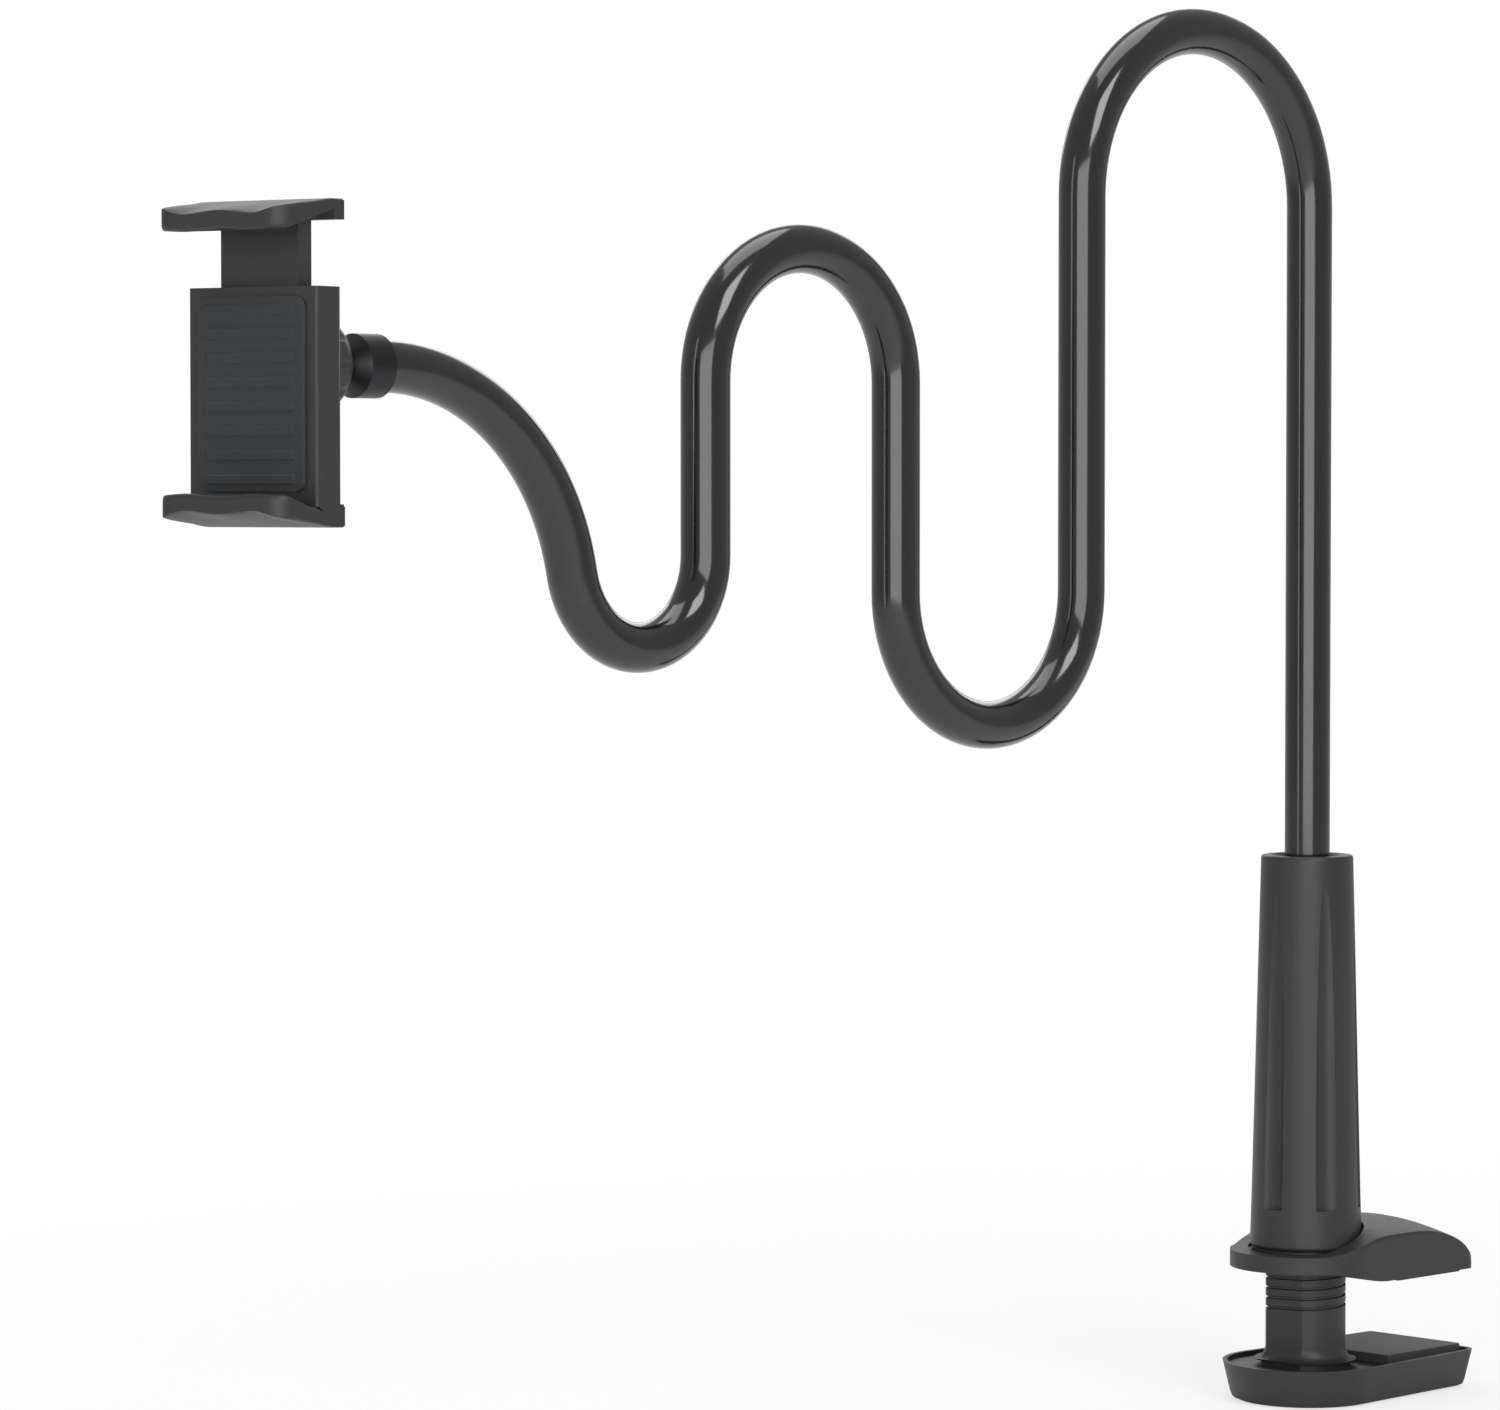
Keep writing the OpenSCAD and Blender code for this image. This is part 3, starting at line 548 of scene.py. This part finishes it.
def helical_cutter():
    """A closed wedge-shaped section wound up the post, pressed in where the flats are."""
    turns = math.ceil((THREAD_HIGH - THREAD_LOW) / THREAD_PITCH)
    slope = (GROOVE_MOUTH_HALF - GROOVE_FLOOR_HALF) / THREAD_DEPTH
    outer_half = GROOVE_MOUTH_HALF + slope * GROOVE_REACH
    section = [(POST_R - THREAD_DEPTH, -GROOVE_FLOOR_HALF), (POST_R + GROOVE_REACH, -outer_half),
               (POST_R + GROOVE_REACH, outer_half), (POST_R - THREAD_DEPTH, GROOVE_FLOOR_HALF)]
    cutter = drawn_face("thread_cutter", [(out, 0, THREAD_LOW + up) for out, up in section])
    bpy.ops.mesh.delete(type="ONLY_FACE")
    end_edit()
    apply_modifier(cutter, "SCREW", angle=2 * math.pi, steps=THREAD_STEPS,
                   render_steps=THREAD_STEPS, iterations=turns,
                   screw_offset=THREAD_PITCH * MM, axis="Z", use_merge_vertices=True,
                   merge_threshold=0.005 * MM)
    for vertex in cutter.data.vertices:
        angle = math.atan2(vertex.co.y, vertex.co.x) + math.radians(THREAD_START_DEGREES)
        bar = min(POST_R, POST_FLAT / max(abs(math.sin(angle)), 0.01))
        radius = vertex.co.xy.length + (bar - POST_R) * MM
        vertex.co.x, vertex.co.y = radius * math.cos(angle), radius * math.sin(angle)
    start_edit(cutter)
    bpy.ops.mesh.remove_doubles(threshold=0.002 * MM)
    bpy.ops.mesh.select_all(action="DESELECT")
    bpy.ops.mesh.select_non_manifold()
    bpy.ops.mesh.edge_face_add()
    closed_up()
    return cutter


post = turned("screw_post_threaded", [
    (0, SCREW_HOLE_TOP), (SCREW_HOLE_R, SCREW_HOLE_TOP), (SCREW_HOLE_R, SPIGOT_FOOT),
    (POST_SPIGOT_R, SPIGOT_FOOT), (POST_SPIGOT_R, TRAY_FLOOR), *flare_line(POST_R),
    (POST_R, POST_TOP - POST_CHAMFER), (POST_R - POST_CHAMFER, POST_TOP),
    (NECK_R + SEAT_PLAY, POST_TOP), (NECK_R + SEAT_PLAY, NECK_SEAT),
    (CORE_R + SEAT_PLAY, NECK_SEAT), (CORE_R + SEAT_PLAY, CORE_SEAT), (0, CORE_SEAT)], POST_STEPS)
side_line = [(POST_FLAT + FLARE_FOOT_OUT, SPIGOT_FOOT - 1), *flare_line(POST_FLAT)[1:],
             (POST_FLAT, POST_TOP + 1)]
side_loop = side_line + [(-out, up) for out, up in reversed(side_line)]
cut(post, prism("post_flats", [(-20, out, up) for out, up in side_loop], (40, 0, 0)),
    "INTERSECT")
cut(post, helical_cutter())
deselect()
bpy.ops.mesh.primitive_cylinder_add(vertices=32, radius=SET_SCREW_HOLE_R * MM, depth=30 * MM,
                                    location=(0, 0, SET_SCREW_Z * MM),
                                    rotation=(math.pi / 2, 0, 0))
set_screw_hole = bpy.context.object
settle(set_screw_hole)
cut(post, set_screw_hole)
even_normals(post, 25)
dress(post, "screw_post")


# Grip: turned with its bores, then fluted by cutters that run on a long arc

GRIP_STEPS = 180
GRIP_RINGS = 24
FLUTE_STEPS = 28
FLUTE_RUNOUT = 4.0
CROWN = 1.0


def grip_radius(z):
    return GRIP_FOOT_R + (GRIP_TOP_R - GRIP_FOOT_R) * (z - GRIP_FOOT) / (GRIP_TOP - GRIP_FOOT)


def flute_cutter(degrees):
    """A disc swept up a long arc, placed at an angle round the grip."""
    low = GRIP_FOOT + FLUTE_FOOT
    run = GRIP_TOP - FLUTE_TIP - low
    arc_r = run ** 2 / (2 * FLUTE_DEPTH)
    lean = math.atan((GRIP_FOOT_R - GRIP_TOP_R) / (GRIP_TOP - GRIP_FOOT))
    cutter = drawn_face("flute_cutter", [(FLUTE_R * arc(a)[0], FLUTE_R * arc(a)[1], 0)
                                         for a in range(0, 360, 5)])
    bpy.ops.mesh.spin(steps=FLUTE_STEPS, angle=-math.asin((run + FLUTE_RUNOUT) / arc_r),
                      dupli=False, center=(arc_r * MM, 0, 0), axis=(0, 1, 0))
    closed_up()
    cutter.rotation_euler = (0, -lean, 0)
    cutter.location = Vector((grip_radius(low) - FLUTE_DEPTH + FLUTE_R, 0, low)) * MM
    settle(cutter)
    cutter.rotation_euler = (0, 0, math.radians(degrees))
    settle(cutter)
    return cutter


side_foot = GRIP_FOOT + GRIP_FOOT_ROUND
side_run = GRIP_TOP - CROWN - side_foot
foot_round = [(GRIP_FOOT_R - GRIP_FOOT_ROUND * (1 - arc(a)[0]),
               GRIP_FOOT + GRIP_FOOT_ROUND * (1 + arc(a)[1])) for a in range(-90, 1, 10)]
side = [(grip_radius(side_foot + side_run * k / GRIP_RINGS),
         side_foot + side_run * k / GRIP_RINGS) for k in range(1, GRIP_RINGS + 1)]
crown = [(GRIP_TOP_R - 0.12, GRIP_TOP - 0.45), (GRIP_TOP_R - 0.4, GRIP_TOP - 0.12),
         (GRIP_TOP_R - 0.8, GRIP_TOP), (MOUTH_R + 1.5, GRIP_TOP), (MOUTH_R, GRIP_TOP - 1.2),
         (MOUTH_R, GRIP_TOP - MOUTH_H)]
ring_groove = [(SPIGOT_R - RING_GROOVE_R * arc(a)[0], RING_Z + RING_GROOVE_R * arc(a)[1])
               for a in range(-90, 91, 30)]
grip = turned("grip_moulding", [
    (BORE_R, SPIGOT_LOW), (SPIGOT_R, SPIGOT_LOW), *ring_groove, (SPIGOT_R, GRIP_FOOT),
    *foot_round, *side, *crown, (BORE_R, GRIP_TOP - MOUTH_H), (BORE_R, POCKET_TOP),
    (POCKET_R, POCKET_TOP), (POCKET_R, POCKET_LOW), (BORE_R, POCKET_LOW)], GRIP_STEPS)
cutters = [flute_cutter(FIRST_FLUTE_DEGREES + index * 360 / FLUTES) for index in range(FLUTES)]
deselect()
for cutter in cutters:
    cutter.select_set(True)
bpy.context.view_layer.objects.active = cutters[0]
bpy.ops.object.join()
cut(grip, cutters[0])
even_normals(grip, 13)
dress(grip, "grip")


# Springs: smooth-shaded copies of the solids' springs

for hand in ("left", "right"):
    wire = copy_of(hand + "_spring", hand + "_spring_wire")
    smooth(wire, 80)
    low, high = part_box(hand + "_spring")
    middle = (low + high) / 2
    dress(wire, hand + "_spring", blended=("cradle", "sliding_jaw", (middle.x, middle.y, low.z),
                                           (middle.x, middle.y, high.z)))

# Mouldings with their edges rounded
softened("upper_jaw", "upper_jaw_moulding", 0.5)
softened("lower_jaw", "lower_jaw_moulding", 0.5)
softened("upper_pad", "upper_pad_rubber", 0.4)
softened("lower_pad", "lower_pad_rubber", 0.4)
softened("lock_nut", "lock_nut_moulding", 0.4)
softened("cradle_cover", "cradle_cover_moulding", 0.3)
softened("cradle_pad", "cradle_pad_rubber", 0.3)


# Hooks: a side view carried across the cradle, its lip rounded in plan, its edge in a soft wave

# The hook stands just inside the block's own faces, so that no two faces lie in one plane
HOOK_PLAY = 0.02
HOOK_HALF_W = 20.0 - HOOK_PLAY
HOOK_BACK = HOUSING_BACK + HOOK_PLAY
BLOCK_DEPTH = 4.2
INNER_TOP = 38.3
LIP_SET = 0.6
LIP_ROUND = 1.3
BAND_STEPS = 16
BAND_BOW = 1.3
INNER_DEPTHS = (16, 19, 22, 25, 28, 30)
PLAN_ROUND = 5.5
LIP_END_ROUND = 2.0
EDGE_ROUND = 0.6
WAVE_MIDDLE = 0.85
WAVE_ENDS = 1.8
WAVE_FROM = 10.5
END_STATIONS = [13.6, 14.6, 15.4, 16.2, 17, 17.7, 18.4, 19, 19.5, 19.85, HOOK_HALF_W]
STATIONS = [-x for x in reversed(END_STATIONS)] + list(range(-12, 13)) + END_STATIONS


def inner_slope(depth):
    """Height of the gap's inner side, which runs down from the block to the lip."""
    start = HOUSING_BACK + BLOCK_DEPTH
    return INNER_TOP - (depth - start) * (INNER_TOP - LIP_TIP - LIP_SET) / (LIP_BACK - start)


def outer_slope(depth):
    """Height of the band's outer side."""
    t = max(0.0, min(1.0, (depth - SLOPE_FROM) / (LIP_FRONT - SLOPE_FROM)))
    return HOOK_OUT - SLOPE_DROP * t ** BAND_BOW


def hook_section():
    """A hook's side view as (depth, height): block, gap's inner side, lip and sloped band."""
    block = HOOK_BACK + BLOCK_DEPTH
    top = outer_slope(LIP_FRONT)
    inner = [(depth, inner_slope(depth))
             for depth in (block + 0.6, *INNER_DEPTHS, LIP_BACK - LIP_SET)]
    lip = [(LIP_FRONT - LIP_ROUND * (1 - arc(a)[1]), LIP_TIP + LIP_ROUND * (1 - arc(a)[0]))
           for a in range(0, 91, 15)]
    band_depths = [SLOPE_FROM + t / BAND_STEPS * (LIP_FRONT - SLOPE_FROM)
                   for t in range(BAND_STEPS - 1, -1, -1)]
    band = [(depth, outer_slope(depth)) for depth in band_depths]
    return [(HOOK_BACK, BLOCK_FOOT), (block, BLOCK_FOOT), (block, inner_slope(block) - 0.4),
            *inner, (LIP_BACK + 0.2, LIP_TIP + 0.15), *lip, (LIP_FRONT, top - 0.45),
            (LIP_FRONT - 0.12, top - 0.12), *band, (HOOK_BACK + 0.4, HOOK_OUT),
            (HOOK_BACK + 0.1, HOOK_OUT - 0.1), (HOOK_BACK, HOOK_OUT - 0.4)]


def drawn_back(distance, radius):
    """How far a corner of that radius has drawn back, at a distance from where it starts."""
    reach = max(0.0, min(radius, distance))
    return radius - math.sqrt(radius ** 2 - reach ** 2)


def hook_point(x, depth, height):
    """Moves a point of the plain section: rounded in plan, waved along the lip, eased ends."""
    out = abs(x)
    share = max(0.0, (depth - COVER_FRONT) / (LIP_FRONT - COVER_FRONT))
    outer = height > outer_slope(depth) - 0.6 and depth > HOUSING_BACK + 0.05
    under = (share > 0.3 and not outer and depth < LIP_FRONT - 0.05
             or share > 0.9 and height < LIP_TIP + LIP_ROUND)
    middle = WAVE_MIDDLE * 0.5 * (1 + math.cos(math.pi * min(out, WAVE_FROM) / WAVE_FROM))
    end = max(0.0, (out - WAVE_FROM) / (HOOK_HALF_W - WAVE_FROM))
    ends = WAVE_ENDS * math.sin(math.pi / 2 * end) ** 2
    if outer:
        height += (middle + ends) * share
        height -= drawn_back(out - (HOOK_HALF_W - EDGE_ROUND), EDGE_ROUND)
    elif under:
        corner = drawn_back(out - (HOOK_HALF_W - LIP_END_ROUND), LIP_END_ROUND)
        height += (middle * 0.7 + ends * 0.25) * share + corner * min(1.0, share * 1.2) * 0.8
    elif share > 0.9:
        height += (middle + ends) * share * 0.6
    depth -= drawn_back(out - (HOOK_HALF_W - PLAN_ROUND), PLAN_ROUND) * share
    return x, depth, height


def hook_solid(name, side):
    """The hook as one closed solid; side -1 hangs it upside down."""
    piece = drawn_face(name, [(STATIONS[0], -depth, height) for depth, height in hook_section()])
    for here, following in zip(STATIONS, STATIONS[1:]):
        bpy.ops.mesh.extrude_region_move(
            TRANSFORM_OT_translate={"value": ((following - here) * MM, 0, 0)})
    end_edit()
    for vertex in piece.data.vertices:
        x, depth, height = hook_point(vertex.co.x / MM, -vertex.co.y / MM, vertex.co.z / MM)
        vertex.co = Vector((x, -depth, side * height)) * MM
    start_edit(piece)
    closed_up()
    return piece


def at_cradle(piece):
    """Turns a piece drawn about the ball to the way the cradle stands."""
    piece.rotation_euler = (0, 0, CRADLE_TURN)
    piece.location = Vector((0, -BALL_REACH, BALL_Z)) * MM
    settle(piece)
    return piece


# Sliding jaw: its tongue from the solid, with the dressed hook
jaw = copy_of("sliding_jaw", "sliding_jaw_moulding")
cut(jaw, at_cradle(box_solid("tongue_keep", (-12.5, -18.6, -20.0), (12.5, -9.5, 38.9))),
    "INTERSECT")
cut(jaw, at_cradle(hook_solid("upper_hook", 1)), "UNION")
join_flats(jaw)
even_normals(jaw, 30)
dress(jaw, "sliding_jaw")

# Housing: its shell and socket collar from the solid, with the dressed lower hook, its block
# and its pocket. The shell and the block overlap by twice this much.
OVERLAP = 0.6
housing = copy_of("cradle_housing", "cradle_housing_moulding")
cut(housing, at_cradle(box_solid("shell_keep", (-30, -COVER_BACK - 1, -BLOCK_FOOT - OVERLAP),
                                 (30, 10, 60))), "INTERSECT")
lower_hook = hook_solid("lower_hook", -1)
cut(lower_hook, box_solid("hook_block", (-19.97, 0.03 - COVER_BACK, -38.9),
                          (19.97, -9.0, -BLOCK_FOOT + OVERLAP)), "UNION")
cut(lower_hook, box_solid("hook_pocket", (-18.03, -COVER_BACK - 1, -HOOK_IN),
                          (18.03, -10.48, -30)))
cut(housing, at_cradle(lower_hook), "UNION")
join_flats(housing)
even_normals(housing, 30)
dress(housing, "cradle_housing")

# Hook pads: thin strips of rubber along the inner slopes
PAD_HALF_W = 16.5
PAD_T = 1.2
PAD_SINK = 0.03
PAD_DEPTHS = (20.4, 23.0, 26.0, 29.0)
for pad_node, side in (("upper_hook_pad", 1), ("lower_hook_pad", -1)):
    pad_loop = [(-PAD_HALF_W, -depth, side * (inner_slope(depth) - PAD_SINK))
                for depth in PAD_DEPTHS]
    pad_loop += [(-PAD_HALF_W, -depth, side * (inner_slope(depth) - PAD_T))
                 for depth in reversed(PAD_DEPTHS)]
    pad = at_cradle(prism(pad_node + "_rubber", pad_loop, (2 * PAD_HALF_W, 0, 0)))
    soften_edges(pad, 0.3, 40)
    even_normals(pad)
    dress(pad, pad_node)


# Studio: white floor and backdrop, soft lamps

FLOOR_Z = -0.0352
FLOOR_SIZE = 14
# How white the backdrop is in a reflection: the black tube shows the dark half of the studio too
GLOSSY_SHARE = 0.15
# Where the floor's shadows start to fade, where they are gone, and how white it starts
FADE_FROM = 0.12
FADE_TO = 0.75
FADE_START = 0.7
WORLD_DIM = 0.35
LAMP_AIM = (0, -0.2, 0.17)


def area_lamp(name, at, size, watts):
    """A rectangular lamp that points at the middle of the arm."""
    data = bpy.data.lights.new(name, "AREA")
    data.energy = watts
    data.shape = "RECTANGLE"
    data.size, data.size_y = size
    lamp = bpy.data.objects.new(name, data)
    bpy.context.scene.collection.objects.link(lamp)
    lamp.location = at
    lamp.rotation_euler = (Vector(LAMP_AIM) - Vector(at)).to_track_quat("-Z", "Y").to_euler()


def shown_directly(tree):
    """1 for rays that look straight at the backdrop or through glass, a share in a reflection."""
    rays = add_node(tree, "ShaderNodeLightPath")
    mirrored = add_node(tree, "ShaderNodeMath", {0: rays.outputs["Is Glossy Ray"]},
                        operation="MULTIPLY")
    mirrored.inputs[1].default_value = GLOSSY_SHARE
    through = add_node(tree, "ShaderNodeMath",
                       {0: mirrored.outputs[0], 1: rays.outputs["Is Transmission Ray"]},
                       operation="MAXIMUM")
    seen = add_node(tree, "ShaderNodeMath",
                    {0: rays.outputs["Is Camera Ray"], 1: through.outputs[0]},
                    operation="MAXIMUM")
    return seen.outputs[0]


deselect()
bpy.ops.mesh.primitive_plane_add(size=FLOOR_SIZE, location=(0, 0, FLOOR_Z))
floor = bpy.context.object
floor.name = "studio_floor"
floor_paint, floor_tree, floor_bsdf, floor_place = new_material(
    "painted_studio_floor", Roughness=0.9, Base_Color=linear("#f4f4f4"))

# The floor keeps the shadow near the clamp and runs out into plain white
glow = add_node(floor_tree, "ShaderNodeEmission", Color=(1, 1, 1, 1), Strength=1.0)
away = add_node(floor_tree, "ShaderNodeVectorMath", {0: floor_place}, operation="LENGTH")
fade = add_node(floor_tree, "ShaderNodeMapRange", {"Value": away.outputs["Value"]},
                From_Min=FADE_FROM, From_Max=FADE_TO, To_Min=FADE_START, To_Max=1.0)
share = add_node(floor_tree, "ShaderNodeMath",
                 {0: shown_directly(floor_tree), 1: fade.outputs["Result"]},
                 operation="MULTIPLY")
floor_mix = add_node(floor_tree, "ShaderNodeMixShader",
                     {0: share.outputs[0], 1: floor_bsdf.outputs["BSDF"],
                      2: glow.outputs["Emission"]})
floor_out = [n for n in floor_tree.nodes if n.type == "OUTPUT_MATERIAL"][0]
floor_tree.links.new(floor_mix.outputs["Shader"], floor_out.inputs["Surface"])
paint(floor, floor_paint)

world = bpy.data.worlds.new("studio_world")
bpy.context.scene.world = world
world.use_nodes = True
world_tree = world.node_tree
world_tree.nodes.clear()
dim = add_node(world_tree, "ShaderNodeBackground", Color=(1, 1, 1, 1), Strength=WORLD_DIM)
white = add_node(world_tree, "ShaderNodeBackground", Color=(1, 1, 1, 1), Strength=1.0)
sky = add_node(world_tree, "ShaderNodeMixShader",
               {0: shown_directly(world_tree), 1: dim.outputs["Background"],
                2: white.outputs["Background"]})
add_node(world_tree, "ShaderNodeOutputWorld", {"Surface": sky.outputs["Shader"]})

area_lamp("front_softbox", (1.66, -1.80, 0.42), (2.3, 1.3), 27)
area_lamp("left_strip", (-0.25, -1.75, 0.35), (0.16, 1.3), 1.6)
area_lamp("key_softbox", (1.3, -0.5, 1.3), (0.8, 0.8), 12)
area_lamp("top_softbox", (-0.2, -0.1, 1.7), (1.2, 1.2), 10)
area_lamp("back_softbox", (-1.45, 1.2, 1.1), (2.2, 0.9), 9)
